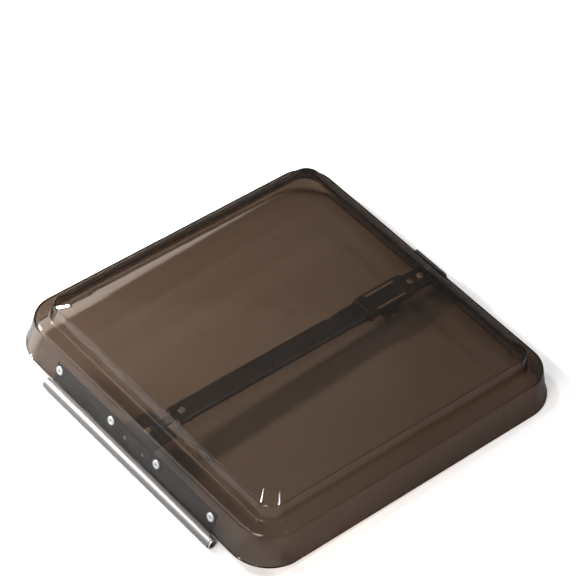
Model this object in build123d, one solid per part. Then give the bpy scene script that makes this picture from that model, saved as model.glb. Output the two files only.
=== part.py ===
from build123d import *
import math
import os

# Roof vent cover: a moulded lid with a rolled sheet-metal hinge, a support bar across its inside,
# and the carriage on that bar which takes the lift arm of the vent.
# All sizes are in millimetres. Every piece is modelled about the centre of the lid's rim, with the
# rim plane at z = 0, the hinge side towards -Y and the bar along Y. export() then moves it so that
# the middle of the hinge axis is the origin.

# Lid shell
LID_SIDE = 400.0
LID_CORNER = 44.0
LID_WALL = 2.5
BEAD_HEIGHT = 2.4
BEAD_PROUD = 0.8
SKIRT_HEIGHT = 37.5
SKIRT_LEAN = 7.8
STEP_FOOT = (24.0, 39.0)
STEP_TOP = (28.0, 57.0)
CROWN_EDGE = (39.0, 62.5)
CROWN_EDGE_CORNER = 14.0
CROWN_TOP = (186.0, 80.5)
CROWN_TOP_CORNER = 6.0
OUTER_ROUNDS = (5.0, 2.5, 3.0, 4.0)
INNER_ROUNDS = (2.5, 4.0, 1.5, 3.0)
BEAD_ROUND = 0.7
GATE_MARK_RADIUS = 3.2
GATE_MARK_HEIGHT = 0.5

# Rolled hinge leaf, and the tube that it turns on
LEAF_THICKNESS = 0.9
CURL_RADIUS = 6.0
HINGE_OUT = 2.6
HINGE_DROP = 7.2
CURL_LENGTH = 260.0
LEAF_LENGTH = 250.0
LEAF_TOP = 21.6
CURL_FREE_EDGE_ANGLE = 12.0
TUBE_CLEARANCE = 0.05
TUBE_BORE_RADIUS = 4.05
TUBE_LENGTH = 264.0
TUBE_CHAMFER = 0.25

# Blind rivets with wide heads, and solid rivets in the brackets
BLIND_SHANK = 2.4
BLIND_HEAD = 4.75
BLIND_HEAD_HEIGHT = 1.5
BULB_RADIUS = 3.2
BULB_LENGTH = 3.2
MANDREL_RADIUS = 1.25
MANDREL_SINK = 0.5
MANDREL_HEAD = 1.9
MANDREL_HEAD_LENGTH = 2.4
SMALL_SHANK = 2.0
SMALL_HEAD = 3.8
SMALL_HEAD_HEIGHT = 2.0
SMALL_TAIL = 3.2
SMALL_TAIL_HEIGHT = 1.2
HEAD_ROUND = 0.75
FIT_GAP = 0.05
LEAF_RIVET_XS = (-118.5, -35.5, 35.5, 118.5)
LEAF_RIVET_Z = 16.0

# Hinge bracket
STRAP = 1.2
STRAP_CORNER = 3.0
BRACKET_WIDTH = 44.0
BRACKET_FOOT_Z = 4.0
BRACKET_REACH = 34.0
BRACKET_RIVET_XS = (-14.0, 14.0)
BRACKET_RIVET_Z = 10.0

# Support bar
BAR_TOP_Z = 22.0
BAR_WIDTH = 24.0
BAR_DEPTH = 5.0
BAR_START_Y = -146.0
BAR_END_Y = 186.0
TONGUE_WIDTH = 10.0
TONGUE_DEPTH = 3.5
TONGUE_PAD_WIDTH = 18.0
TONGUE_PAD_LENGTH = 14.0
TONGUE_START_Y = -172.0
TONGUE_BEND = 2.6
BAR_STOP_Y = -136.0
BEND = 1.0

# Front bracket and the plate outside it
T_WIDTH = 80.0
T_FOOT_Z = 6.0
T_TOP_Z = 26.0
STEM_WIDTH = 19.0
STEM_REACH = 30.0
STEM_RIVET_YS = (165.3, 180.0)
PLATE_WIDTH = 48.0
PLATE_THICKNESS = 2.5
PLATE_CORNER = 4.0
PLATE_EDGE_ROUND = 0.8
PLATE_FOOT_Z = 13.0
PLATE_TOP_Z = 36.0
FRONT_RIVET_XS = (-14.0, 14.0)
FRONT_RIVET_Z = 19.5

# Carriage on the bar, with the pin and roller for the lift arm
SLIDE_START_Y = 100.0
SLIDE_LENGTH = 61.0
SLIDE_STRAP = 11.0
SLIDE_WINDOW_RIM = 1.4
SLIDE_LIP_X = 9.4
LINER_SETBACK = 1.0
LINER = 0.9
LINER_GAP = 0.2
EAR_GAP = 14.0
EAR_WIDTH = 18.0
EAR_FOOT_Z = 1.5
EAR_CORNER = 5.0
EAR_LAP = 1.0
PIN_Z = 7.5
PIN_RADIUS = 2.5
PIN_CLEARANCE = 0.05
PIN_FREE_LENGTH = 9.0
PIN_HEAD = 4.2
PIN_HEAD_HEIGHT = 2.0
PIN_CHAMFER = 0.5
GROOVE_RADIUS = 2.1
CLIP_RADIUS = 4.6
CLIP_THICKNESS = 0.8
CLIP_GAP = 0.05
CLIP_MOUTH = 3.0
ROLLER_RADIUS = 5.5
ROLLER_SIDE_GAP = 0.4
ROLLER_CHAMFER = 0.4

HALF = LID_SIDE / 2
DRILL_LENGTH = 24.0
SKIRT_SLOPE = SKIRT_LEAN / SKIRT_HEIGHT
SKIRT_ANGLE = math.degrees(math.atan(SKIRT_SLOPE))
SKIRT_COS = math.cos(math.radians(SKIRT_ANGLE))
HINGE_Y = -(HALF + HINGE_OUT)

os.makedirs("parts", exist_ok=True)


def export(name, solids):
    """Move a piece, or a list of like pieces, to the frame of the hinge and write it."""
    group = solids if isinstance(solids, list) else [solids]
    placed = [Pos(0, -HINGE_Y, HINGE_DROP) * solid for piece in group for solid in piece.solids()]
    export_step(placed[0] if len(placed) == 1 else Compound(children=placed), f"parts/{name}.step")


# ---------------------------------------------------------------- lid shell

def mitred(points, distance):
    """Offset a profile of (inset, height) points to its inner side, with mitred corners."""
    lines = []
    for (x0, z0), (x1, z1) in zip(points, points[1:]):
        length = math.hypot(x1 - x0, z1 - z0)
        ux, uz = (x1 - x0) / length, (z1 - z0) / length
        lines.append((x0 + uz * distance, z0 - ux * distance, ux, uz))
    result = [(lines[0][0] - lines[0][2] / lines[0][3] * (lines[0][1] - points[0][1]), points[0][1])]
    for (ax, az, aux, auz), (bx, bz, bux, buz) in zip(lines, lines[1:]):
        t = ((bx - ax) * buz - (bz - az) * bux) / (aux * buz - auz * bux)
        result.append((ax + aux * t, az + auz * t))
    x, z, ux, uz = lines[-1]
    result.append((points[-1][0], z + uz / ux * (points[-1][0] - x)))
    return result


def dome(profile, corners):
    """Stack of ruled lofts between rounded squares, one square for each point of the profile."""
    squares = [
        Pos(0, 0, z) * RectangleRounded(2 * (HALF - inset), 2 * (HALF - inset), corner)
        for (inset, z), corner in zip(profile, corners)
    ]
    solid = loft([squares[0], squares[1]], ruled=True)
    for low, high in zip(squares[1:], squares[2:]):
        solid += loft([low, high], ruled=True)
    return solid


def round_level(solid, height, radius):
    """Fillet the ring of edges that lies at one height."""
    ring = [e for e in solid.edges() if abs(e.bounding_box().min.Z - height) < 0.01
            and abs(e.bounding_box().max.Z - height) < 0.01]
    return fillet(ring, radius)


outer_profile = [(BEAD_PROUD, 0.0), (BEAD_PROUD + SKIRT_LEAN, SKIRT_HEIGHT), STEP_FOOT, STEP_TOP,
                 CROWN_EDGE, CROWN_TOP]
inner_profile = mitred(outer_profile, LID_WALL)
outer_corners = [LID_CORNER - inset for inset, _ in outer_profile[:4]]
outer_corners += [CROWN_EDGE_CORNER, CROWN_TOP_CORNER]
inner_corners = [
    corner - (inner[0] - outer[0])
    for corner, inner, outer in zip(outer_corners, inner_profile, outer_profile)
]

outer_dome = dome(outer_profile, outer_corners)
for (_, height), radius in zip(outer_profile[1:], OUTER_ROUNDS):
    outer_dome = round_level(outer_dome, height, radius)
inner_dome = dome(inner_profile, inner_corners)
for (_, height), radius in zip(inner_profile[1:], INNER_ROUNDS):
    inner_dome = round_level(inner_dome, height, radius)

bead = extrude(RectangleRounded(LID_SIDE, LID_SIDE, LID_CORNER), BEAD_HEIGHT)
bead_ends = bead.faces().filter_by(Axis.Z)
bead = fillet([edge for face in bead_ends for edge in face.edges()], BEAD_ROUND)
gate_mark = Pos(0, 0, CROWN_TOP[1]) * Cylinder(GATE_MARK_RADIUS, 2 * GATE_MARK_HEIGHT)


def skirt_plane(side, x, z, depth=0.0):
    """Plane on the skirt's outer face (side -1 is the hinge side, +1 the front), facing outwards.
    depth is how far under that face the plane lies. Its own y runs up the skirt."""
    y = side * (HALF - BEAD_PROUD - SKIRT_SLOPE * z)
    outward = Vector(0, side * SKIRT_COS, SKIRT_COS * SKIRT_SLOPE)
    origin = Vector(x, y, z) - outward * depth
    return Plane(origin=origin, x_dir=(-side, 0, 0), z_dir=outward)


def drill(side, x, z, radius):
    """Hole through everything that is on the skirt at one place."""
    return skirt_plane(side, x, z) * Cylinder(radius, DRILL_LENGTH)


lid_shell = outer_dome + bead + gate_mark - inner_dome
for x in LEAF_RIVET_XS:
    lid_shell -= drill(-1, x, LEAF_RIVET_Z, BLIND_SHANK + FIT_GAP)
for x in FRONT_RIVET_XS:
    lid_shell -= drill(1, x, FRONT_RIVET_Z, BLIND_SHANK + FIT_GAP)
export("lid_shell", lid_shell)


# ---------------------------------------------------------------- hinge

def skirt_line(z, depth):
    """Y of a line parallel to the hinge side's skirt, depth under its outer face."""
    return -(HALF - BEAD_PROUD - SKIRT_SLOPE * z - depth / SKIRT_COS)


def bent_along_x(path, thickness, width):
    """Bent sheet whose section follows a path in the YZ plane, running along X."""
    return extrude(Plane.YZ * trace(path, thickness), width / 2, both=True)


def bent_along_y(path, thickness, start, end):
    """Bent sheet whose section follows a path in the XZ plane, running along Y."""
    return extrude(Pos(0, start, 0) * (Plane.XZ * trace(path, thickness)), -(end - start))


def block(low, high):
    """Box between two corners."""
    size = [b - a for a, b in zip(low, high)]
    return Pos(*low) * Box(*size, align=(Align.MIN, Align.MIN, Align.MIN))


def lathe(*points):
    """Turned piece about Z from the (radius, height) points of its half section."""
    return revolve(Plane.XZ * make_face(Polyline(*points, close=True)), Axis.Z)


curl_middle = CURL_RADIUS - LEAF_THICKNESS / 2
leaf_level = -HINGE_DROP + curl_middle
leaf_depth = LID_WALL + LEAF_THICKNESS / 2
leaf_path = FilletPolyline(
    (skirt_line(LEAF_TOP, leaf_depth), LEAF_TOP),
    (skirt_line(leaf_level, leaf_depth), leaf_level),
    (HINGE_Y, leaf_level),
    radius=BEND + LEAF_THICKNESS / 2,
)
curl_path = CenterArc((HINGE_Y, -HINGE_DROP), curl_middle, 90, 270 + CURL_FREE_EDGE_ANGLE)
hinge_leaf = bent_along_x(leaf_path, LEAF_THICKNESS, LEAF_LENGTH)
hinge_leaf += bent_along_x(curl_path, LEAF_THICKNESS, CURL_LENGTH)
for x in LEAF_RIVET_XS:
    hinge_leaf -= drill(-1, x, LEAF_RIVET_Z, BLIND_SHANK + FIT_GAP)
for x in BRACKET_RIVET_XS:
    hinge_leaf -= drill(-1, x, BRACKET_RIVET_Z, SMALL_SHANK + FIT_GAP)
export("hinge_leaf", hinge_leaf)

tube_radius = CURL_RADIUS - LEAF_THICKNESS - TUBE_CLEARANCE
hinge_tube = Cylinder(tube_radius, TUBE_LENGTH) - Cylinder(TUBE_BORE_RADIUS, TUBE_LENGTH)
hinge_tube = chamfer(hinge_tube.edges().filter_by(GeomType.CIRCLE), TUBE_CHAMFER)
export("hinge_tube", Pos(0, HINGE_Y, -HINGE_DROP) * Rot(0, 90, 0) * hinge_tube)


# ---------------------------------------------------------------- rivets

def button(radius, height):
    """Round head that stands on the XY plane, its free edge rounded over."""
    disc = Cylinder(radius, height, align=(Align.CENTER, Align.CENTER, Align.MIN))
    return fillet(disc.edges().filter_by(GeomType.CIRCLE).sort_by(Axis.Z)[-1], HEAD_ROUND * height)


def shank(radius, grip):
    """Shank from the XY plane down through a grip."""
    return Cylinder(radius, grip, align=(Align.CENTER, Align.CENTER, Align.MAX))


def blind_rivet(plane, grip):
    """Blind rivet with its wide head on the plane and its bulb behind the grip."""
    bulb = Pos(0, 0, -grip) * Rot(180, 0, 0) * button(BULB_RADIUS, BULB_LENGTH)
    core = Cylinder(MANDREL_RADIUS + FIT_GAP, DRILL_LENGTH)
    return plane * (button(BLIND_HEAD, BLIND_HEAD_HEIGHT) + shank(BLIND_SHANK, grip) + bulb - core)


def mandrel(plane, grip):
    """Steel stub left in a blind rivet, sheared under the head's face, its own head behind the bulb."""
    back = grip + BULB_LENGTH
    return plane * lathe(
        (0, BLIND_HEAD_HEIGHT - MANDREL_SINK),
        (MANDREL_RADIUS, BLIND_HEAD_HEIGHT - MANDREL_SINK),
        (MANDREL_RADIUS, -back),
        (MANDREL_HEAD, -back),
        (MANDREL_HEAD, -back - 0.5 * MANDREL_HEAD_LENGTH),
        (0.5 * MANDREL_HEAD, -back - MANDREL_HEAD_LENGTH),
        (0, -back - MANDREL_HEAD_LENGTH),
    )


def solid_rivet(plane, grip, flush=False):
    """Round-headed rivet, its head on the plane, set behind its grip or left flush there."""
    rivet = button(SMALL_HEAD, SMALL_HEAD_HEIGHT) + shank(SMALL_SHANK, grip)
    if not flush:
        rivet += Pos(0, 0, -grip) * Rot(180, 0, 0) * button(SMALL_TAIL, SMALL_TAIL_HEIGHT)
    return plane * rivet


def level_plane(x, y, z):
    return Plane(origin=(x, y, z))


leaf_grip = LID_WALL + LEAF_THICKNESS
leaf_planes = [skirt_plane(-1, x, LEAF_RIVET_Z) for x in LEAF_RIVET_XS]
export("hinge_rivets", [blind_rivet(plane, leaf_grip) for plane in leaf_planes])
export("hinge_rivet_mandrels", [mandrel(plane, leaf_grip) for plane in leaf_planes])


# ---------------------------------------------------------------- hinge bracket

tongue_foot_z = BAR_TOP_Z - TONGUE_DEPTH
tab_level = tongue_foot_z - STRAP / 2
bracket_depth = LID_WALL + LEAF_THICKNESS + STRAP / 2
bracket_back = skirt_line(tab_level, bracket_depth)
bracket_path = FilletPolyline(
    (skirt_line(BRACKET_FOOT_Z, bracket_depth), BRACKET_FOOT_Z),
    (bracket_back, tab_level),
    (bracket_back + BRACKET_REACH, tab_level),
    radius=BEND + STRAP / 2,
)
hinge_bracket = bent_along_x(bracket_path, STRAP, BRACKET_WIDTH)
tab_corners = hinge_bracket.edges().filter_by(Axis.Z).group_by(Axis.Y)[-1]
hinge_bracket = fillet(tab_corners, STRAP_CORNER)
for x in BRACKET_RIVET_XS:
    hinge_bracket -= drill(-1, x, BRACKET_RIVET_Z, SMALL_SHANK + FIT_GAP)
pad_y = TONGUE_START_Y - TONGUE_PAD_LENGTH / 2
hinge_bracket -= Pos(0, pad_y, tab_level) * Cylinder(SMALL_SHANK + FIT_GAP, 4 * STRAP)
export("hinge_bracket", hinge_bracket)

bracket_rivets = []
for x in BRACKET_RIVET_XS:
    outer = skirt_plane(-1, x, BRACKET_RIVET_Z, LID_WALL + LEAF_THICKNESS + STRAP)
    inward = Plane(origin=outer.origin, x_dir=outer.x_dir, z_dir=-outer.z_dir)
    bracket_rivets.append(solid_rivet(inward, STRAP + LEAF_THICKNESS, flush=True))
export("hinge_bracket_rivets", bracket_rivets)


# ---------------------------------------------------------------- support bar

def channel_path(width, depth, thickness, bend):
    """Middle line of a channel that opens downwards, its web's top at the top of the bar."""
    side = (width - thickness) / 2
    top = BAR_TOP_Z - thickness / 2
    foot = BAR_TOP_Z - depth
    return FilletPolyline((-side, foot), (-side, top), (side, top), (side, foot), radius=bend)


bar_path = channel_path(BAR_WIDTH, BAR_DEPTH, STRAP, BEND + STRAP / 2)
bar = bent_along_y(bar_path, STRAP, BAR_START_Y, BAR_END_Y)
tongue_path = channel_path(TONGUE_WIDTH, TONGUE_DEPTH, STRAP, TONGUE_BEND)
bar += bent_along_y(tongue_path, STRAP, TONGUE_START_Y, BAR_START_Y)
pad = block(
    (-TONGUE_PAD_WIDTH / 2, TONGUE_START_Y - TONGUE_PAD_LENGTH, tongue_foot_z),
    (TONGUE_PAD_WIDTH / 2, TONGUE_START_Y + STRAP, tongue_foot_z + STRAP),
)
pad = fillet(pad.edges().filter_by(Axis.Z), STRAP_CORNER)
tongue_end = block(
    (-TONGUE_WIDTH / 2 + STRAP, TONGUE_START_Y, tongue_foot_z),
    (TONGUE_WIDTH / 2 - STRAP, TONGUE_START_Y + STRAP, BAR_TOP_Z - STRAP / 2),
)
bar += pad + tongue_end
bar -= Pos(0, pad_y, tongue_foot_z) * Cylinder(SMALL_SHANK + FIT_GAP, 4 * STRAP)
for y in (BAR_STOP_Y, *STEM_RIVET_YS):
    bar -= Pos(0, y, BAR_TOP_Z) * Cylinder(SMALL_SHANK + FIT_GAP, 4 * STRAP)
export("support_bar", bar)
export("tongue_rivet", solid_rivet(level_plane(0, pad_y, tongue_foot_z + STRAP), 2 * STRAP))
export("bar_stop_rivet", solid_rivet(level_plane(0, BAR_STOP_Y, BAR_TOP_Z), STRAP))
stem_rivets = [solid_rivet(level_plane(0, y, BAR_TOP_Z), 2 * STRAP) for y in STEM_RIVET_YS]
export("bar_front_rivets", stem_rivets)


# ---------------------------------------------------------------- front bracket and plate

stem_level = BAR_TOP_Z - 1.5 * STRAP
plate_depth = LID_WALL + STRAP / 2
stem_root = -skirt_line(stem_level, plate_depth)
upright_path = Polyline(
    (-skirt_line(T_FOOT_Z, plate_depth), T_FOOT_Z), (-skirt_line(T_TOP_Z, plate_depth), T_TOP_Z)
)
stem_path = FilletPolyline(
    (-skirt_line(T_FOOT_Z, plate_depth), T_FOOT_Z),
    (stem_root, stem_level),
    (stem_root - STEM_REACH, stem_level),
    radius=BEND + STRAP / 2,
)
upright = bent_along_x(upright_path, STRAP, T_WIDTH)
upright -= block(
    (-STEM_WIDTH / 2, HALF - STEM_REACH, stem_level - 3 * STRAP),
    (STEM_WIDTH / 2, HALF, T_TOP_Z + STRAP),
)
front_bracket = upright + bent_along_x(stem_path, STRAP, STEM_WIDTH)
for x in FRONT_RIVET_XS:
    front_bracket -= drill(1, x, FRONT_RIVET_Z, BLIND_SHANK + FIT_GAP)
for y in STEM_RIVET_YS:
    front_bracket -= Pos(0, y, stem_level) * Cylinder(SMALL_SHANK + FIT_GAP, 4 * STRAP)
export("front_bracket", front_bracket)

plate_tall = (PLATE_TOP_Z - PLATE_FOOT_Z) / SKIRT_COS
plate_centre = skirt_plane(1, 0, (PLATE_FOOT_Z + PLATE_TOP_Z) / 2)
plate_outline = RectangleRounded(PLATE_WIDTH, plate_tall, PLATE_CORNER)
plate = extrude(plate_centre * plate_outline, PLATE_THICKNESS)
plate = fillet(plate.faces().sort_by(Axis.Y)[-1].edges(), PLATE_EDGE_ROUND)
for x in FRONT_RIVET_XS:
    plate -= drill(1, x, FRONT_RIVET_Z, BLIND_SHANK + FIT_GAP)
export("front_plate", plate)

front_grip = PLATE_THICKNESS + LID_WALL + STRAP
front_planes = [skirt_plane(1, x, FRONT_RIVET_Z, -PLATE_THICKNESS) for x in FRONT_RIVET_XS]
export("front_rivets", [blind_rivet(plane, front_grip) for plane in front_planes])
export("front_rivet_mandrels", [mandrel(plane, front_grip) for plane in front_planes])


# ---------------------------------------------------------------- carriage

slide_end_y = SLIDE_START_Y + SLIDE_LENGTH
liner_reach = BAR_WIDTH / 2 + LINER_GAP
side_x = liner_reach + LINER
roof_z = BAR_TOP_Z + LINER_GAP + LINER
lip_z = BAR_TOP_Z - BAR_DEPTH - LINER_GAP - LINER
pin_y = (SLIDE_START_Y + slide_end_y) / 2


def carriage_path(grow):
    """Middle line of a channel that wraps over the bar and under its two flanges."""
    reach = side_x + grow
    return FilletPolyline(
        (-SLIDE_LIP_X, lip_z - grow),
        (-reach, lip_z - grow),
        (-reach, roof_z + grow),
        (reach, roof_z + grow),
        (reach, lip_z - grow),
        (SLIDE_LIP_X, lip_z - grow),
        radius=BEND + grow,
    )


slide = bent_along_y(carriage_path(STRAP / 2), STRAP, SLIDE_START_Y, slide_end_y)
slide -= block(
    (-side_x + SLIDE_WINDOW_RIM, SLIDE_START_Y + SLIDE_STRAP, roof_z - STRAP),
    (side_x - SLIDE_WINDOW_RIM, slide_end_y - SLIDE_STRAP, roof_z + 2 * STRAP),
)
for side in (-1, 1):
    ear_path = FilletPolyline(
        (side * (SLIDE_LIP_X + EAR_LAP), lip_z - STRAP / 2),
        (side * (EAR_GAP / 2 + STRAP / 2), lip_z - STRAP / 2),
        (side * (EAR_GAP / 2 + STRAP / 2), EAR_FOOT_Z),
        radius=BEND + STRAP / 2,
    )
    ear = bent_along_y(ear_path, STRAP, pin_y - EAR_WIDTH / 2, pin_y + EAR_WIDTH / 2)
    ear = fillet(ear.edges().filter_by(Axis.X).group_by(Axis.Z)[0], EAR_CORNER)
    slide += ear
slide -= Pos(0, pin_y, PIN_Z) * Rot(0, 90, 0) * Cylinder(PIN_RADIUS + PIN_CLEARANCE, 4 * EAR_GAP)
export("lift_slide", slide)

liners = []
for side in (-1, 1):
    liner_path = FilletPolyline(
        (side * SLIDE_LIP_X, lip_z + LINER / 2),
        (side * (liner_reach + LINER / 2), lip_z + LINER / 2),
        (side * (liner_reach + LINER / 2), roof_z - LINER / 2),
        (side * SLIDE_LIP_X, roof_z - LINER / 2),
        radius=BEND - LINER / 2,
    )
    liner_start, liner_end = SLIDE_START_Y + LINER_SETBACK, slide_end_y - LINER_SETBACK
    liners.append(bent_along_y(liner_path, LINER, liner_start, liner_end))
export("slide_liners", liners)

ear_outside = EAR_GAP / 2 + STRAP
pin_place = Pos(0, pin_y, PIN_Z) * Rot(0, 90, 0)
pin = lathe(
    (0, -ear_outside - PIN_HEAD_HEIGHT),
    (PIN_HEAD - PIN_CHAMFER, -ear_outside - PIN_HEAD_HEIGHT),
    (PIN_HEAD, -ear_outside - PIN_HEAD_HEIGHT + PIN_CHAMFER),
    (PIN_HEAD, -ear_outside),
    (PIN_RADIUS, -ear_outside),
    (PIN_RADIUS, ear_outside + CLIP_GAP),
    (GROOVE_RADIUS, ear_outside + CLIP_GAP),
    (GROOVE_RADIUS, ear_outside + 3 * CLIP_GAP + CLIP_THICKNESS),
    (PIN_RADIUS, ear_outside + 3 * CLIP_GAP + CLIP_THICKNESS),
    (PIN_RADIUS, ear_outside + PIN_FREE_LENGTH - PIN_CHAMFER),
    (PIN_RADIUS - PIN_CHAMFER, ear_outside + PIN_FREE_LENGTH),
    (0, ear_outside + PIN_FREE_LENGTH),
)
export("lift_pin", pin_place * pin)

clip = Cylinder(CLIP_RADIUS, CLIP_THICKNESS, align=(Align.CENTER, Align.CENTER, Align.MIN))
clip -= Cylinder(GROOVE_RADIUS, 4 * CLIP_THICKNESS)
clip -= block(
    (0, -CLIP_MOUTH / 2, -CLIP_THICKNESS), (2 * CLIP_RADIUS, CLIP_MOUTH / 2, 2 * CLIP_THICKNESS)
)
export("lift_pin_clip", pin_place * Pos(0, 0, ear_outside + 2 * CLIP_GAP) * clip)

roller = Cylinder(ROLLER_RADIUS, EAR_GAP - 2 * ROLLER_SIDE_GAP)
roller = chamfer(roller.edges().filter_by(GeomType.CIRCLE), ROLLER_CHAMFER)
roller -= Cylinder(PIN_RADIUS + PIN_CLEARANCE, 2 * EAR_GAP)
export("lift_roller", pin_place * roller)
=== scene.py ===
import math

import bmesh
import bpy
from mathutils import Matrix, Vector


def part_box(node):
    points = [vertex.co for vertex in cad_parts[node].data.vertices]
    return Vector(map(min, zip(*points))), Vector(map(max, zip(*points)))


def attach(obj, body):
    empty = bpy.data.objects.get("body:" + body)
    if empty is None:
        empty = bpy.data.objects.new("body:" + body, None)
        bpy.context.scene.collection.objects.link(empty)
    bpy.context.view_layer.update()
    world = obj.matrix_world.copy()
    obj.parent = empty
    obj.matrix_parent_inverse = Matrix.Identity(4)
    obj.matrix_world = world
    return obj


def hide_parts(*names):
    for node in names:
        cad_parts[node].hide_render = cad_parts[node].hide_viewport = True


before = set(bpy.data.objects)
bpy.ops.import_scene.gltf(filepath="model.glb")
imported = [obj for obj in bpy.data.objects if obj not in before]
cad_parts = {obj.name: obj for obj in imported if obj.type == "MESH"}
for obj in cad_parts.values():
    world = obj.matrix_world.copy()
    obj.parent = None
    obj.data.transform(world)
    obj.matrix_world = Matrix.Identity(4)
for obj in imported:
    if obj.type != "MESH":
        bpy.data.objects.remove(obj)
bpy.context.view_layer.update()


# Lid shell: a smoke-tinted polycarbonate lid, injection moulded as one piece. Its wall is even, a
# bead stiffens the rim, and a small raised disc in the middle of the crown is left by the gate.

MM = 0.001
lid_low, lid_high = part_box("lid_shell")
lid_middle = Vector(((lid_low.x + lid_high.x) / 2, (lid_low.y + lid_high.y) / 2, lid_low.z))
HALF = (lid_high.x - lid_low.x) / 2
WALL = 2.5 * MM
GATE_RADIUS = 3.2 * MM
GATE_HEIGHT = 0.5 * MM
CORNER_STEPS = 16
SKIRT_FOOT = Vector((0.8 * MM, 0.0))
SKIRT_HEAD = Vector((8.6 * MM, 37.5 * MM))
skirt_slope = (SKIRT_HEAD.x - SKIRT_FOOT.x) / (SKIRT_HEAD.y - SKIRT_FOOT.y)
skirt_cos = math.cos(math.atan(skirt_slope))
crown_top = lid_high.z - lid_low.z - GATE_HEIGHT


def linear(hex_colour):
    """An sRGB hex colour as the linear values that a shader takes."""
    channels = [int(hex_colour[i:i + 2], 16) / 255 for i in (1, 3, 5)]
    return [c / 12.92 if c <= 0.04045 else ((c + 0.055) / 1.055) ** 2.4 for c in channels] + [1.0]


def add(tree, kind, inputs=None, **settings):
    """Adds a node. inputs maps a socket to a plain value, to a node, which gives its first output, or
    to one of a node's outputs."""
    made = tree.nodes.new(kind)
    for key, value in settings.items():
        setattr(made, key, value)
    for key, value in (inputs or {}).items():
        if isinstance(value, bpy.types.Node):
            value = value.outputs[0]
        if isinstance(value, bpy.types.NodeSocket):
            tree.links.new(value, made.inputs[key])
        else:
            made.inputs[key].default_value = value
    return made


def new_material(name):
    """An empty material, with its tree, its output and the object coordinates that patterns read."""
    material = bpy.data.materials.new(name)
    material.use_nodes = True
    tree = material.node_tree
    tree.nodes.clear()
    output = tree.nodes.new("ShaderNodeOutputMaterial")
    place = tree.nodes.new("ShaderNodeTexCoord").outputs["Object"]
    return material, tree, output, place


SINK_SPACING, FLOW_SPACING, DUST_SPACING = 38 * MM, 9 * MM, 3 * MM
SINK_DEPTH, FLOW_DEPTH = 0.6 * MM, 0.1 * MM
TINT_PER_METRE = 440.0


def smoke_polycarbonate():
    """Smoke polycarbonate, moulded and glossy. Light passes twice through the tint, so the panels are
    a clear brown, and the bends and the rim, where the path is long, are nearly black."""
    material, tree, output, place = new_material("smoke_polycarbonate")
    sink = add(tree, "ShaderNodeTexNoise", {"Vector": place, "Scale": 1 / SINK_SPACING, "Detail": 1.0})
    flow = add(tree, "ShaderNodeTexNoise", {"Vector": place, "Scale": 1 / FLOW_SPACING, "Detail": 3.0})
    dust = add(tree, "ShaderNodeTexNoise", {"Vector": place, "Scale": 1 / DUST_SPACING, "Detail": 5.0})
    wave = add(tree, "ShaderNodeBump", {"Height": sink, "Strength": 0.05, "Distance": SINK_DEPTH})
    peel = add(tree, "ShaderNodeBump", {
        "Height": flow, "Strength": 0.02, "Distance": FLOW_DEPTH, "Normal": wave})
    gloss = add(tree, "ShaderNodeMapRange", {"Value": dust, "To Min": 0.01, "To Max": 0.06})
    plastic = add(tree, "ShaderNodeBsdfPrincipled", {
        "Base Color": linear("#ffffff"), "Roughness": gloss, "IOR": 1.5, "Transmission Weight": 1.0,
        "Normal": peel})
    clear = add(tree, "ShaderNodeBsdfTransparent", {"Color": linear("#f3f3f3")})
    path = add(tree, "ShaderNodeLightPath")
    lamp_ray = add(tree, "ShaderNodeMath", {
        0: path.outputs["Is Shadow Ray"], 1: path.outputs["Is Diffuse Ray"]}, operation="MAXIMUM")
    shown = add(tree, "ShaderNodeMixShader", {0: lamp_ray, 1: plastic, 2: clear})
    tint = add(tree, "ShaderNodeVolumeAbsorption", {
        "Color": linear("#9c6f00"), "Density": TINT_PER_METRE})
    tree.links.new(shown.outputs[0], output.inputs["Surface"])
    tree.links.new(tint.outputs[0], output.inputs["Volume"])
    return material


def inner_line(points, distance):
    """The line that lies a wall's thickness inside a line of (inset, height) points."""
    sides = []
    for a, b in zip(points, points[1:]):
        along = (b - a).normalized()
        sides.append((a + Vector((along.y, -along.x)) * distance, along))
    result = [sides[0][0] - sides[0][1] * ((sides[0][0].y - points[0].y) / sides[0][1].y)]
    for (a, along), (b, beyond) in zip(sides, sides[1:]):
        cross = along.x * beyond.y - along.y * beyond.x
        gap = b - a
        result.append(a + along * ((gap.x * beyond.y - gap.y * beyond.x) / cross))
    last, along = sides[-1]
    result.append(last + along * ((points[-1].x - last.x) / along.x))
    return result


def rounded_section(section, steps=8):
    """A line of (inset, height, corner, bend) with each bend turned into an arc of steps."""
    line = []
    for i, (inset, height, corner, bend) in enumerate(section):
        here = Vector((inset, height, corner))
        if bend == 0 or i in (0, len(section) - 1):
            line.append(here)
            continue
        before, after = (Vector(section[j][:3]) for j in (i - 1, i + 1))
        a, b = (before - here), (after - here)
        a2, b2 = a.xy.normalized(), b.xy.normalized()
        half_angle = a2.angle(b2) / 2
        reach = bend / math.tan(half_angle)
        start, end = here + a * (reach / a.xy.length), here + b * (reach / b.xy.length)
        centre = here.xy + (a2 + b2).normalized() * (bend / math.sin(half_angle))
        first, last = start.xy - centre, end.xy - centre
        turn = last.angle_signed(first)
        for k in range(steps + 1):
            t = k / steps
            c, s = math.cos(turn * t), math.sin(turn * t)
            arm = Vector((first.x * c - first.y * s, first.x * s + first.y * c))
            line.append(Vector((*(centre + arm), start.z + (end.z - start.z) * t)))
    return line


def square_ring(inset, height, corner):
    """Points of a square with round corners, seen from above, anticlockwise."""
    ring = []
    arm = HALF - inset - corner
    for quarter in range(4):
        for step in range(CORNER_STEPS + 1):
            angle = math.radians(90 * (quarter + step / CORNER_STEPS))
            middle = math.radians(90 * quarter + 45)
            x = math.copysign(arm, math.cos(middle)) + corner * math.cos(angle)
            y = math.copysign(arm, math.sin(middle)) + corner * math.sin(angle)
            ring.append(lid_middle + Vector((x, y, height)))
    return ring


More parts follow.
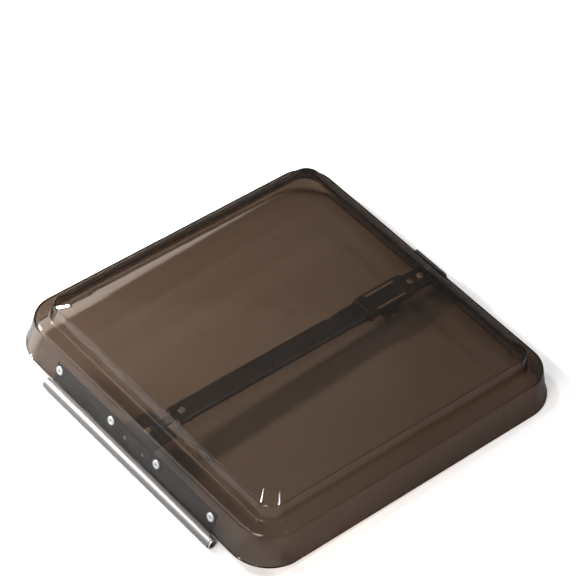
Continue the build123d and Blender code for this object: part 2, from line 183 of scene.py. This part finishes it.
def round_ring(radius, height):
    """The same number of points round a circle in the middle of the lid."""
    count = 4 * (CORNER_STEPS + 1)
    angles = [2 * math.pi * (i + 0.5) / count for i in range(count)]
    return [lid_middle + Vector((radius * math.cos(a), radius * math.sin(a), height)) for a in angles]


def skin(name, rings, closed=False):
    """A mesh object through rings of points, with its two ends filled or joined to each other."""
    shape = bmesh.new()
    loops = [[shape.verts.new(point) for point in ring] for ring in rings]
    pairs = list(zip(loops, loops[1:])) + ([(loops[-1], loops[0])] if closed else [])
    for low, high in pairs:
        for i in range(len(low)):
            j = (i + 1) % len(low)
            shape.faces.new((low[i], low[j], high[j], high[i]))
    if not closed:
        shape.faces.new(loops[0])
        shape.faces.new(loops[-1])
    bmesh.ops.recalc_face_normals(shape, faces=shape.faces)
    mesh = bpy.data.meshes.new(name)
    shape.to_mesh(mesh)
    shape.free()
    made = bpy.data.objects.new(name, mesh)
    bpy.context.scene.collection.objects.link(made)
    return made


def settle(piece):
    """Turns the piece's modifiers into plain mesh."""
    bpy.context.view_layer.update()
    evaluated = piece.evaluated_get(bpy.context.evaluated_depsgraph_get())
    mesh = bpy.data.meshes.new_from_object(evaluated)
    piece.modifiers.clear()
    piece.data = mesh


LARGE_FACE_WEIGHT = 60


def even_normals(piece):
    """Smooth shading that keeps large flat faces flat."""
    for face in piece.data.polygons:
        face.use_smooth = True
    weighted = piece.modifiers.new("flat faces stay flat", "WEIGHTED_NORMAL")
    weighted.mode = "FACE_AREA"
    weighted.keep_sharp = True
    weighted.weight = LARGE_FACE_WEIGHT
    settle(piece)


# The outside, from the rim to the crown's peak, as insets from the rim bead and heights.
SHOULDER_END = Vector((24, 39)) * MM
STEP_HEAD = Vector((28, 57)) * MM
CROWN_FOOT = Vector((39, 62.5)) * MM
crown_peak = Vector((186 * MM, crown_top))
outer = [SKIRT_FOOT, SKIRT_HEAD, SHOULDER_END, STEP_HEAD, CROWN_FOOT, crown_peak]
OUTER_CORNERS = [43.2 * MM, 35.4 * MM, 20 * MM, 16 * MM, 14 * MM, 6 * MM]
OUTER_BENDS = [0, 5 * MM, 2.5 * MM, 3 * MM, 4 * MM, 0]
INNER_BENDS = [0.3 * MM, 2.5 * MM, 4 * MM, 1.5 * MM, 3 * MM, 0]
BEAD_HEIGHT = 2.4 * MM
BEAD_ROUND = 0.7 * MM
BEAD_NECK = 0.4 * MM
RIM_CORNER = 44 * MM
# The gate mark as shares of its radius and its height, and the fan that closes the inside.
GATE_SECTION = ((0.05, 0.8), (0.55, 0.8), (0.8, 1.0), (0.93, 0.9), (1.0, 0.6), (1.06, 0.0))
INNER_FAN = (1.06, 0.05)
inner = inner_line(outer, WALL)
bead_inset = SKIRT_FOOT.x + skirt_slope * BEAD_HEIGHT
section = [(p.x, p.y, c, b) for p, c, b in zip(outer, OUTER_CORNERS, OUTER_BENDS)][:0:-1]
section += [
    (bead_inset, BEAD_HEIGHT, RIM_CORNER - bead_inset, BEAD_NECK),
    (0.0, BEAD_HEIGHT, RIM_CORNER, BEAD_ROUND),
    (0.0, 0.0, RIM_CORNER, BEAD_ROUND),
]
section += [(p.x, p.y, c - (p.x - o.x), b)
            for p, o, c, b in zip(inner, outer, OUTER_CORNERS, INNER_BENDS)]
rings = [round_ring(GATE_RADIUS * r, crown_top + GATE_HEIGHT * h) for r, h in GATE_SECTION]
rings += [square_ring(*point) for point in rounded_section(section)]
rings += [round_ring(GATE_RADIUS * r, inner[-1].y) for r in INNER_FAN]
lid = skin("lid_shell_smoke", rings)


def skirt_seat(side, x, height, out=0.0):
    """Where something sits on the skirt's outer face, and the way that the face looks there. side is
    -1 on the hinge side and 1 at the front."""
    outward = Vector((0, side * skirt_cos, skirt_cos * skirt_slope))
    on_face = Vector((x, side * (HALF - SKIRT_FOOT.x - skirt_slope * height), height))
    return lid_middle + on_face + outward * out, outward


LEAF_RIVET_XS = [x * MM for x in (-118.5, -35.5, 35.5, 118.5)]
LEAF_RIVET_HEIGHT = 16 * MM
FRONT_RIVET_XS = [x * MM for x in (-14, 14)]
FRONT_RIVET_HEIGHT = 19.5 * MM
HOLE_RADIUS = 2.45 * MM
DRILL_SIDES = 24
DRILL_LENGTH = 8 * MM
drills = bmesh.new()
for side, xs, height in (
        (-1, LEAF_RIVET_XS, LEAF_RIVET_HEIGHT), (1, FRONT_RIVET_XS, FRONT_RIVET_HEIGHT)):
    for x in xs:
        place, outward = skirt_seat(side, x, height)
        turn = outward.to_track_quat("Z", "Y")
        bmesh.ops.create_cone(
            drills, cap_ends=True, segments=DRILL_SIDES, radius1=HOLE_RADIUS, radius2=HOLE_RADIUS,
            depth=DRILL_LENGTH, matrix=Matrix.Translation(place) @ turn.to_matrix().to_4x4())
drill_mesh = bpy.data.meshes.new("drills")
drills.to_mesh(drill_mesh)
drills.free()
drill = bpy.data.objects.new("drills", drill_mesh)
bpy.context.scene.collection.objects.link(drill)
holes = lid.modifiers.new("rivet holes", "BOOLEAN")
holes.operation = "DIFFERENCE"
holes.solver = "EXACT"
holes.object = drill
settle(lid)
bpy.data.objects.remove(drill)
even_normals(lid)
lid.data.materials.clear()
lid.data.materials.append(smoke_polycarbonate())
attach(lid, "lid")
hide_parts("lid_shell")


# Hinge leaf: 0.9 mm galvanised steel strip, rolled to a curl along its lower edge and riveted inside
# the hinge side's skirt. The brackets and the bar are bent from the same coated sheet.

# The Mix node's sockets for numbers and for colours.
NUMBER_A, NUMBER_B, COLOUR_A, COLOUR_B, COLOUR_OUT = 2, 3, 6, 7, 2
SPANGLE, BLOOM, ZINC_GRAIN = 6 * MM, 22 * MM, 0.6 * MM
CURL_RADIUS, CURL_FADE = 6.2 * MM, 8 * MM


def galvanised_steel(name, dark, light, cloud):
    """Hot-dip zinc: flat spangles a few millimetres wide, each with its own grey and its own gloss. On
    the curl, near the hinge axis, it is painted a brighter grey and made rougher: a painted highlight."""
    material, tree, output, place = new_material(name)
    spangle = add(tree, "ShaderNodeTexVoronoi", {"Vector": place, "Scale": 1 / SPANGLE})
    facet = add(tree, "ShaderNodeSeparateColor", {0: spangle.outputs["Color"]})
    bloom = add(tree, "ShaderNodeTexNoise", {"Vector": place, "Scale": 1 / BLOOM, "Detail": 6.0})
    thin_bloom = add(tree, "ShaderNodeMapRange", {"Value": bloom, "To Min": 0.0, "To Max": 0.35})
    grey = add(tree, "ShaderNodeMix", {
        "Factor": facet, COLOUR_A: linear(dark), COLOUR_B: linear(light)}, data_type="RGBA")
    clouded = add(tree, "ShaderNodeMix", {
        "Factor": thin_bloom, COLOUR_A: grey.outputs[COLOUR_OUT], COLOUR_B: linear(cloud)},
        data_type="RGBA")
    # Painted highlight: within the curl's reach of the hinge axis the colour turns to a bright grey,
    # standing in for the light that the curl reflects.
    across = add(tree, "ShaderNodeVectorMath", {0: place, 1: (0, 1, 1)}, operation="MULTIPLY")
    reach = add(tree, "ShaderNodeVectorMath", {0: across}, operation="LENGTH")
    painted_curl_highlight = add(tree, "ShaderNodeMapRange", {
        "Value": reach.outputs["Value"], "From Min": CURL_RADIUS, "From Max": CURL_FADE,
        "To Min": 1.0, "To Max": 0.0})
    colour = add(tree, "ShaderNodeMix", {
        "Factor": painted_curl_highlight, COLOUR_A: clouded.outputs[COLOUR_OUT], COLOUR_B: linear("#8f8c8b")},
        data_type="RGBA")
    gloss = add(tree, "ShaderNodeMapRange", {
        "Value": facet.outputs["Blue"], "To Min": 0.29, "To Max": 0.33})
    roughness = add(tree, "ShaderNodeMix", {"Factor": painted_curl_highlight, NUMBER_A: gloss, NUMBER_B: 0.42})
    grain = add(tree, "ShaderNodeTexNoise", {"Vector": place, "Scale": 1 / ZINC_GRAIN, "Detail": 2.0})
    relief = add(tree, "ShaderNodeBump", {"Height": grain, "Strength": 0.1, "Distance": 0.04 * MM})
    zinc = add(tree, "ShaderNodeBsdfPrincipled", {
        "Base Color": colour.outputs[COLOUR_OUT], "Metallic": 1.0, "Roughness": roughness,
        "Normal": relief})
    tree.links.new(zinc.outputs[0], output.inputs["Surface"])
    return material


SAME_POINT = 0.002 * MM
SAME_PLANE = math.radians(0.5)


def edged(node, name, edge, body, material, angle=30):
    """A piece on a copy of a node's merged mesh, its cut edges softened by a small round."""
    shape = bmesh.new()
    shape.from_mesh(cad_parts[node].data)
    bmesh.ops.remove_doubles(shape, verts=shape.verts, dist=SAME_POINT)
    bmesh.ops.dissolve_limit(
        shape, angle_limit=SAME_PLANE, use_dissolve_boundaries=False, verts=shape.verts,
        edges=shape.edges)
    mesh = bpy.data.meshes.new(name)
    shape.to_mesh(mesh)
    shape.free()
    piece = bpy.data.objects.new(name, mesh)
    bpy.context.scene.collection.objects.link(piece)
    if edge:
        bevel = piece.modifiers.new("softened edges", "BEVEL")
        bevel.width = edge
        bevel.segments = 2
        bevel.limit_method = "ANGLE"
        bevel.angle_limit = math.radians(angle)
        settle(piece)
    even_normals(piece)
    piece.data.materials.clear()
    piece.data.materials.append(material)
    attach(piece, body)
    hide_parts(node)


SHEET_EDGE = 0.15 * MM
# Painted shade: the leaf gets a darker copy of the brackets' zinc, so that it looks nearly black inside
# the smoke lid.
shaded_leaf_zinc = galvanised_steel("galvanised_steel_leaf_painted_shade", "#4b5155", "#545a5f", "#61676c")
edged("hinge_leaf", "hinge_leaf_rolled", SHEET_EDGE, "lid", shaded_leaf_zinc)


# Hinge tube: a drawn aluminium tube that lies in the curl. The lid turns on it, and the rod of the
# vent's base goes through it.

DRAW_LINES, STAINS = 0.4 * MM, 30 * MM
ALONG_THE_TUBE = (0.02, 1, 1)
TUBE_EDGE = 0.1 * MM


def mill_aluminium():
    """Drawn tube as it comes from the mill: bright, with fine lines along its length."""
    material, tree, output, place = new_material("mill_aluminium")
    along = add(tree, "ShaderNodeMapping", {"Vector": place, "Scale": ALONG_THE_TUBE})
    lines = add(tree, "ShaderNodeTexNoise", {"Vector": along, "Scale": 1 / DRAW_LINES, "Detail": 4.0})
    stain = add(tree, "ShaderNodeTexNoise", {"Vector": place, "Scale": 1 / STAINS, "Detail": 5.0})
    tone = add(tree, "ShaderNodeMix", {
        "Factor": stain, COLOUR_A: linear("#d9d3d1"), COLOUR_B: linear("#f0eceb")}, data_type="RGBA")
    relief = add(tree, "ShaderNodeBump", {"Height": lines, "Strength": 0.2, "Distance": 0.02 * MM})
    gloss = add(tree, "ShaderNodeMapRange", {"Value": lines, "To Min": 0.24, "To Max": 0.40})
    metal = add(tree, "ShaderNodeBsdfPrincipled", {
        "Base Color": tone.outputs[COLOUR_OUT], "Metallic": 1.0, "Roughness": gloss, "Normal": relief})
    tree.links.new(metal.outputs[0], output.inputs["Surface"])
    return material


edged("hinge_tube", "hinge_tube_drawn", TUBE_EDGE, "tube", mill_aluminium(),
      angle=40)


# Rivets: blind aluminium rivets with wide heads hold the hinge and the front plate, and round-headed
# ones hold the brackets and stop the carriage. The steel stub of its mandrel stays in a blind rivet.

LEAF = 0.9 * MM
STRAP = 1.2 * MM
PLATE = 2.5 * MM
BLIND_HEAD, BLIND_HEIGHT, BLIND_SHANK, BLIND_BORE = (v * MM for v in (4.75, 1.5, 2.4, 1.3))
BULB, BULB_LENGTH = 3.2 * MM, 3.2 * MM
STUB, STUB_SINK, STUB_HEAD, STUB_HEAD_LENGTH = (v * MM for v in (1.25, 0.5, 1.9, 2.4))
SMALL_HEAD, SMALL_HEIGHT, SMALL_SHANK = (v * MM for v in (3.8, 2.0, 2.0))
TAIL, TAIL_HEIGHT = 3.2 * MM, 1.2 * MM
ROUND_SHARE = 0.75
AXIS = 0.02 * MM


def turned(name, line, closed=False, steps=32):
    """A turned piece on the z axis from a line of (radius, height) points."""
    angles = [2 * math.pi * i / steps for i in range(steps)]
    rings = [[Vector((r * math.cos(a), r * math.sin(a), z)) for a in angles] for r, z in line]
    return skin(name, rings, closed)


def rounded_end(radius, height, level, way=1):
    """Points from a disc's face to the level that it stands on, its edge rounded over. way is -1 for
    a disc that hangs under the level."""
    bend = ROUND_SHARE * height
    turns = [math.radians(t) for t in (90, 72, 54, 36, 18, 0)]
    arc = [(radius - bend + bend * math.cos(t), level + way * (height - bend + bend * math.sin(t)))
           for t in turns]
    return arc + [(radius, level)]


# The dish round the bore, as shares of the bore's radius and the head's height.
DISH = ((1.0, 0.7), (1.2, 0.86), (1.7, 1.0))


def blind_line(grip):
    """Half section of a set blind rivet, round its bore."""
    bulb = [p for p in rounded_end(BULB, BULB_LENGTH, -grip, -1)[::-1] if p[0] > BLIND_BORE]
    dish = [(BLIND_BORE * r, BLIND_HEIGHT * h) for r, h in DISH]
    face = rounded_end(BLIND_HEAD, BLIND_HEIGHT, 0.0)
    shank = [(BLIND_SHANK, 0.0), (BLIND_SHANK, -grip)]
    return dish + face + shank + bulb + [(BLIND_BORE, -grip - BULB_LENGTH)]


# The torn end of the stub, as shares of its radius and of its height in the head.
TORN_RADIUS, TORN_HEIGHT = 0.8, 0.9


def stub_line(grip):
    """Half section of the mandrel's stub, sheared inside the rivet's head."""
    back = -grip - BULB_LENGTH
    top = BLIND_HEIGHT - STUB_SINK
    return [(AXIS, top), (TORN_RADIUS * STUB, top), (STUB, TORN_HEIGHT * top), (STUB, back),
            (STUB_HEAD, back), (STUB_HEAD, back - STUB_HEAD_LENGTH / 2),
            (STUB_HEAD / 2, back - STUB_HEAD_LENGTH), (AXIS, back - STUB_HEAD_LENGTH)]


def solid_line(grip, flush=False):
    """Half section of a round-headed rivet, set behind its grip or left flush there."""
    line = [(AXIS, SMALL_HEIGHT)] + rounded_end(SMALL_HEAD, SMALL_HEIGHT, 0.0)
    line += [(SMALL_SHANK, 0.0), (SMALL_SHANK, -grip)]
    if not flush:
        line += rounded_end(TAIL, TAIL_HEIGHT, -grip, -1)[::-1]
    return line + [(AXIS, line[-1][1])]


def rivet_tree():
    """Stands a rivet on every seat, looking the way the seat faces. Each is turned a step further
    than the one before, as hand-set rivets are."""
    tree = bpy.data.node_groups.new("rivets on their seats", "GeometryNodeTree")
    sockets = {}
    for name, kind in (
            ("Seats", "Geometry"), ("Rivet", "Object"), ("Turn step", "Float"), ("Metal", "Material")):
        socket = tree.interface.new_socket(name, in_out="INPUT", socket_type="NodeSocket" + kind)
        sockets[name] = socket.identifier
    tree.interface.new_socket("Rivets", in_out="OUTPUT", socket_type="NodeSocketGeometry")
    given = tree.nodes.new("NodeGroupInput").outputs
    facing = add(tree, "GeometryNodeInputNamedAttribute", {"Name": "facing"}, data_type="FLOAT_VECTOR")
    upright = add(
        tree, "FunctionNodeAlignRotationToVector", {"Vector": facing.outputs["Attribute"]}, axis="Z")
    index = add(tree, "GeometryNodeInputIndex")
    turn = add(tree, "ShaderNodeMath", {0: index, 1: given["Turn step"]}, operation="MULTIPLY")
    twist = add(tree, "FunctionNodeAxisAngleToRotation", {"Axis": (0, 0, 1), "Angle": turn})
    facing_turned = add(tree, "FunctionNodeRotateRotation", {
        "Rotation": upright, "Rotate By": twist}, rotation_space="LOCAL")
    rivet = add(tree, "GeometryNodeObjectInfo", {"Object": given["Rivet"]})
    points = add(tree, "GeometryNodeMeshToPoints", {"Mesh": given["Seats"]})
    stood = add(tree, "GeometryNodeInstanceOnPoints", {
        "Points": points, "Instance": rivet.outputs["Geometry"], "Rotation": facing_turned})
    real = add(tree, "GeometryNodeRealizeInstances", {"Geometry": stood})
    finished = add(tree, "GeometryNodeSetMaterial", {"Geometry": real, "Material": given["Metal"]})
    add(tree, "NodeGroupOutput", {"Rivets": finished})
    return tree, sockets


rivet_group, rivet_sockets = rivet_tree()
TURN_STEP = math.radians(37)


def rivets(node, name, seats, template, metal):
    """Puts a rivet on each (place, facing) seat and takes the template away."""
    mesh = bpy.data.meshes.new(name)
    mesh.from_pydata([place for place, _ in seats], [], [])
    ways = mesh.attributes.new("facing", "FLOAT_VECTOR", "POINT")
    for i, (_, way) in enumerate(seats):
        ways.data[i].vector = way
    piece = bpy.data.objects.new(name, mesh)
    bpy.context.scene.collection.objects.link(piece)
    stand = piece.modifiers.new("rivets", "NODES")
    stand.node_group = rivet_group
    for socket, value in (("Rivet", template), ("Turn step", TURN_STEP), ("Metal", metal)):
        stand[rivet_sockets[socket]] = value
    settle(piece)
    bpy.data.objects.remove(template)
    even_normals(piece)
    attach(piece, "lid")
    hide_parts(node)


SCUFF, TEAR = 1.5 * MM, 0.5 * MM


def rivet_aluminium():
    """Upset aluminium, satin, with the ring marks of the setting tool."""
    material, tree, output, place = new_material("rivet_aluminium")
    scuff = add(tree, "ShaderNodeTexNoise", {"Vector": place, "Scale": 1 / SCUFF, "Detail": 4.0})
    tone = add(tree, "ShaderNodeMix", {
        "Factor": scuff, COLOUR_A: linear("#dadada"), COLOUR_B: linear("#f4f4f5")}, data_type="RGBA")
    relief = add(tree, "ShaderNodeBump", {"Height": scuff, "Strength": 0.2, "Distance": 0.05 * MM})
    gloss = add(tree, "ShaderNodeMapRange", {"Value": scuff, "To Min": 0.25, "To Max": 0.42})
    metal = add(tree, "ShaderNodeBsdfPrincipled", {
        "Base Color": tone.outputs[COLOUR_OUT], "Metallic": 1.0, "Roughness": gloss, "Normal": relief})
    tree.links.new(metal.outputs[0], output.inputs["Surface"])
    return material


def mandrel_steel():
    """Sheared steel wire, dull and dark."""
    material, tree, output, place = new_material("mandrel_steel")
    tear = add(tree, "ShaderNodeTexNoise", {"Vector": place, "Scale": 1 / TEAR, "Detail": 5.0})
    tone = add(tree, "ShaderNodeMix", {
        "Factor": tear, COLOUR_A: linear("#55534f"), COLOUR_B: linear("#8a8883")}, data_type="RGBA")
    relief = add(tree, "ShaderNodeBump", {"Height": tear, "Strength": 0.5, "Distance": 0.1 * MM})
    metal = add(tree, "ShaderNodeBsdfPrincipled", {
        "Base Color": tone.outputs[COLOUR_OUT], "Metallic": 1.0, "Roughness": 0.45, "Normal": relief})
    tree.links.new(metal.outputs[0], output.inputs["Surface"])
    return material


def level_seat(y, height):
    """A seat on the level top of the bar or of its end, over the lid's middle line."""
    return lid_middle + Vector((0, y, height)) * MM, Vector((0, 0, 1))


rivet_metal = rivet_aluminium()
stub_metal = mandrel_steel()
leaf_seats = [skirt_seat(-1, x, LEAF_RIVET_HEIGHT) for x in LEAF_RIVET_XS]
plate_seats = [skirt_seat(1, x, FRONT_RIVET_HEIGHT, PLATE) for x in FRONT_RIVET_XS]
leaf_grip = WALL + LEAF
plate_grip = PLATE + WALL + STRAP
for place, seats, grip in (("hinge", leaf_seats, leaf_grip), ("front", plate_seats, plate_grip)):
    rivets(place + "_rivets", place + "_rivets_set", seats,
           turned("template", blind_line(grip), closed=True), rivet_metal)
    rivets(place + "_rivet_mandrels", place + "_rivet_mandrels_sheared", seats,
           turned("template", stub_line(grip)), stub_metal)
BRACKET_RIVET_HEIGHT = 10 * MM
# Millimetres from the lid's middle towards the front, and up from its rim.
TONGUE_SEAT = (-179, 19.7)
STOP_SEAT = (-136, 22)
BAR_FRONT_SEATS = ((165.3, 22), (180, 22))
bracket_seats = [(place, -outward) for place, outward in (
    skirt_seat(-1, x, BRACKET_RIVET_HEIGHT, -(WALL + LEAF + STRAP)) for x in FRONT_RIVET_XS)]
for node, seats, line in (
        ("hinge_bracket_rivets", bracket_seats, solid_line(STRAP + LEAF, flush=True)),
        ("tongue_rivet", [level_seat(*TONGUE_SEAT)], solid_line(2 * STRAP)),
        ("bar_stop_rivet", [level_seat(*STOP_SEAT)], solid_line(STRAP)),
        ("bar_front_rivets", [level_seat(*seat) for seat in BAR_FRONT_SEATS], solid_line(2 * STRAP))):
    rivets(node, node + "_set", seats, turned("template", line), rivet_metal)


# Brackets and bar: 1.2 mm galvanised strip, bent cold. The hinge bracket is riveted to the leaf and
# holds the bar's tongue, and the T-shaped front bracket is riveted inside the skirt and holds the
# bar's other end. The bar is a shallow channel that opens downwards.

galvanised = galvanised_steel("galvanised_steel", "#78828a", "#838c94", "#9aa2a9")
for node in ("hinge_bracket", "support_bar", "front_bracket"):
    edged(node, node + "_bent", SHEET_EDGE, "lid", galvanised)


# Front plate: a black painted steel plate outside the front skirt, which spreads the load of the
# two blind rivets that hold the front bracket.

PAINT_PEEL = 1.2 * MM


def black_painted_steel():
    """Powder-like black paint over steel, satin, with a fine peel."""
    material, tree, output, place = new_material("black_painted_steel")
    peel = add(tree, "ShaderNodeTexNoise", {"Vector": place, "Scale": 1 / PAINT_PEEL, "Detail": 3.0})
    relief = add(tree, "ShaderNodeBump", {"Height": peel, "Strength": 0.3, "Distance": 0.08 * MM})
    gloss = add(tree, "ShaderNodeMapRange", {"Value": peel, "To Min": 0.3, "To Max": 0.42})
    paint = add(tree, "ShaderNodeBsdfPrincipled", {
        "Base Color": linear("#141516"), "Roughness": gloss, "Normal": relief})
    tree.links.new(paint.outputs[0], output.inputs["Surface"])
    return material


edged("front_plate", "front_plate_painted", 0, "lid", black_painted_steel())


# Carriage: a galvanised strap bent round the bar, which slides on two nylon liners. The lift arm of
# the vent goes on the free end of its pin, which is held by a spring clip, and a nylon roller turns
# on the pin between the two ears.

NYLON_CLOUD, TURNED_MARKS = 4 * MM, 0.3 * MM
ROUND_THE_PIN = (1, 0.05, 0.05)
SMALL_EDGE = 0.1 * MM


def natural_nylon():
    """Moulded nylon, milky, a little translucent."""
    material, tree, output, place = new_material("natural_nylon")
    cloud = add(tree, "ShaderNodeTexNoise", {"Vector": place, "Scale": 1 / NYLON_CLOUD, "Detail": 3.0})
    tone = add(tree, "ShaderNodeMix", {
        "Factor": cloud, COLOUR_A: linear("#d8d4c4"), COLOUR_B: linear("#ebe8dc")}, data_type="RGBA")
    gloss = add(tree, "ShaderNodeMapRange", {"Value": cloud, "To Min": 0.35, "To Max": 0.5})
    nylon = add(tree, "ShaderNodeBsdfPrincipled", {
        "Base Color": tone.outputs[COLOUR_OUT], "Roughness": gloss, "IOR": 1.53,
        "Subsurface Weight": 0.15})
    tree.links.new(nylon.outputs[0], output.inputs["Surface"])
    return material


def zinc_plated_steel():
    """Turned pin and pressed clip, bright zinc plate with a cold tint and faint marks of turning."""
    material, tree, output, place = new_material("zinc_plated_steel")
    round_it = add(tree, "ShaderNodeMapping", {"Vector": place, "Scale": ROUND_THE_PIN})
    marks = add(tree, "ShaderNodeTexNoise", {
        "Vector": round_it, "Scale": 1 / TURNED_MARKS, "Detail": 3.0})
    tone = add(tree, "ShaderNodeMix", {
        "Factor": marks, COLOUR_A: linear("#b9bec4"), COLOUR_B: linear("#d5d9dc")}, data_type="RGBA")
    gloss = add(tree, "ShaderNodeMapRange", {"Value": marks, "To Min": 0.2, "To Max": 0.34})
    metal = add(tree, "ShaderNodeBsdfPrincipled", {
        "Base Color": tone.outputs[COLOUR_OUT], "Metallic": 1.0, "Roughness": gloss})
    tree.links.new(metal.outputs[0], output.inputs["Surface"])
    return material


nylon = natural_nylon()
zinc = zinc_plated_steel()
edged("lift_slide", "lift_slide_bent", SHEET_EDGE, "carriage", galvanised)
edged("slide_liners", "slide_liners_moulded", SMALL_EDGE, "carriage", nylon)
edged("lift_pin", "lift_pin_turned", 0, "carriage", zinc)
edged("lift_pin_clip", "lift_pin_clip_pressed", SMALL_EDGE, "carriage", zinc)
edged("lift_roller", "lift_roller_moulded", 0, "roller", nylon)


# Floor: a pale studio floor that touches the curl's underside and the front of the rim, on which the
# lid rests slightly tipped. It is white to the camera, and greyer in reflections and through the lid,
# so that the smoke plastic keeps its depth.
FLOOR_SIZE = 12.0
curl_radius = -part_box("hinge_leaf")[0].z
front = Vector((lid_high.y, lid_low.z))
tip = math.asin(curl_radius / front.length) + math.atan2(front.y, front.x)
half_floor = FLOOR_SIZE / 2
corners = [
    (x * half_floor, front.x + y * half_floor * math.cos(tip), front.y + y * half_floor * math.sin(tip))
    for x, y in ((-1, -1), (1, -1), (1, 1), (-1, 1))]
floor_mesh = bpy.data.meshes.new("studio_floor")
floor_mesh.from_pydata(corners, [], [(0, 1, 2, 3)])
floor = bpy.data.objects.new("studio_floor", floor_mesh)
bpy.context.scene.collection.objects.link(floor)
material, tree, output, place = new_material("pale_floor")
seen = add(tree, "ShaderNodeLightPath").outputs["Is Camera Ray"]
tone = add(tree, "ShaderNodeMix", {
    "Factor": seen, COLOUR_A: linear("#999999"), COLOUR_B: linear("#fafafa")}, data_type="RGBA")
glow = add(tree, "ShaderNodeMapRange", {"Value": seen, "To Min": 0.0, "To Max": 0.25})
pale = add(tree, "ShaderNodeBsdfPrincipled", {
    "Base Color": tone.outputs[COLOUR_OUT], "Roughness": 0.9, "Emission Color": linear("#ffffff"),
    "Emission Strength": glow})
tree.links.new(pale.outputs[0], output.inputs["Surface"])
floor_mesh.materials.append(material)


# Light: a room that is dark at the horizon and pale overhead. A small lamp near the hinge side's left
# throws the bar's shadow, a soft lamp and a pale wall light the hinge, and two ceiling lamps show as
# small highlights in the lid's corners.
def lamp(name, azimuth, height, distance, wide, high, watts):
    """A soft lamp that points at the lid. azimuth 0 is towards +X."""
    data = bpy.data.lights.new(name, "AREA")
    data.shape = "RECTANGLE"
    data.size = wide
    data.size_y = high
    data.energy = watts
    made = bpy.data.objects.new(name, data)
    a, h = math.radians(azimuth), math.radians(height)
    toward = Vector((math.cos(a) * math.cos(h), math.sin(a) * math.cos(h), math.sin(h)))
    made.location = lid_middle + toward * distance
    made.rotation_euler = toward.to_track_quat("Z", "Y").to_euler()
    bpy.context.scene.collection.objects.link(made)


lamp("window lamp", azimuth=208, height=38, distance=0.9, wide=0.12, high=0.12, watts=17)
lamp("room lamp", azimuth=292, height=30, distance=2.5, wide=1.0, high=1.0, watts=32)
lamp("pale wall", azimuth=229, height=22, distance=1.9, wide=1.1, high=1.7, watts=9)
lamp("left ceiling lamp", azimuth=235.5, height=65.3, distance=2.55, wide=0.17, high=0.17, watts=13)
lamp("right ceiling lamp", azimuth=34.5, height=65.3, distance=2.55, wide=0.17, high=0.17, watts=13)
world = bpy.data.worlds.new("studio")
bpy.context.scene.world = world
world.use_nodes = True
tree = world.node_tree
# The room's brightness by the sine of the height that it is seen at.
direction = add(tree, "ShaderNodeSeparateXYZ", {0: add(tree, "ShaderNodeTexCoord").outputs["Generated"]})
room = add(tree, "ShaderNodeMapRange", {
    "Value": direction.outputs["Z"], "From Min": 0.3, "From Max": 1.0, "To Min": 0.05, "To Max": 0.30})
tree.links.new(room.outputs["Result"], tree.nodes["Background"].inputs["Strength"])
tree.nodes["Background"].inputs["Color"].default_value = linear("#ffffff")


# Camera: looks down on the hinge side's right corner from the height of a person at a table.
AZIMUTH, ELEVATION, ROLL = (math.radians(a) for a in (45.64, 44.9, 5.78))
DISTANCE = 2.8327
AIM_HEIGHT = 20 * MM
AIM_RIGHT = 0.44 * MM
AIM_UP = 64.89 * MM
SENSOR = 36.0
LENS = 176.25
FAR = 50.0
ahead = Vector((-math.sin(AZIMUTH) * math.cos(ELEVATION), math.cos(AZIMUTH) * math.cos(ELEVATION),
                -math.sin(ELEVATION)))
level = Vector((math.cos(AZIMUTH), math.sin(AZIMUTH), 0))
upright = level.cross(ahead)
right = level * math.cos(ROLL) + upright * math.sin(ROLL)
up = upright * math.cos(ROLL) - level * math.sin(ROLL)
camera_data = bpy.data.cameras.new("camera")
camera_data.sensor_width = SENSOR
camera_data.lens = LENS
camera_data.clip_end = FAR
camera = bpy.data.objects.new("camera", camera_data)
turn = Matrix((right, up, -ahead)).transposed().to_4x4()
aim = lid_middle + Vector((0, 0, AIM_HEIGHT))
camera.matrix_world = Matrix.Translation(aim - ahead * DISTANCE + right * AIM_RIGHT + up * AIM_UP) @ turn
bpy.context.scene.collection.objects.link(camera)
bpy.context.scene.camera = camera
bpy.context.scene.view_settings.view_transform = "Standard"
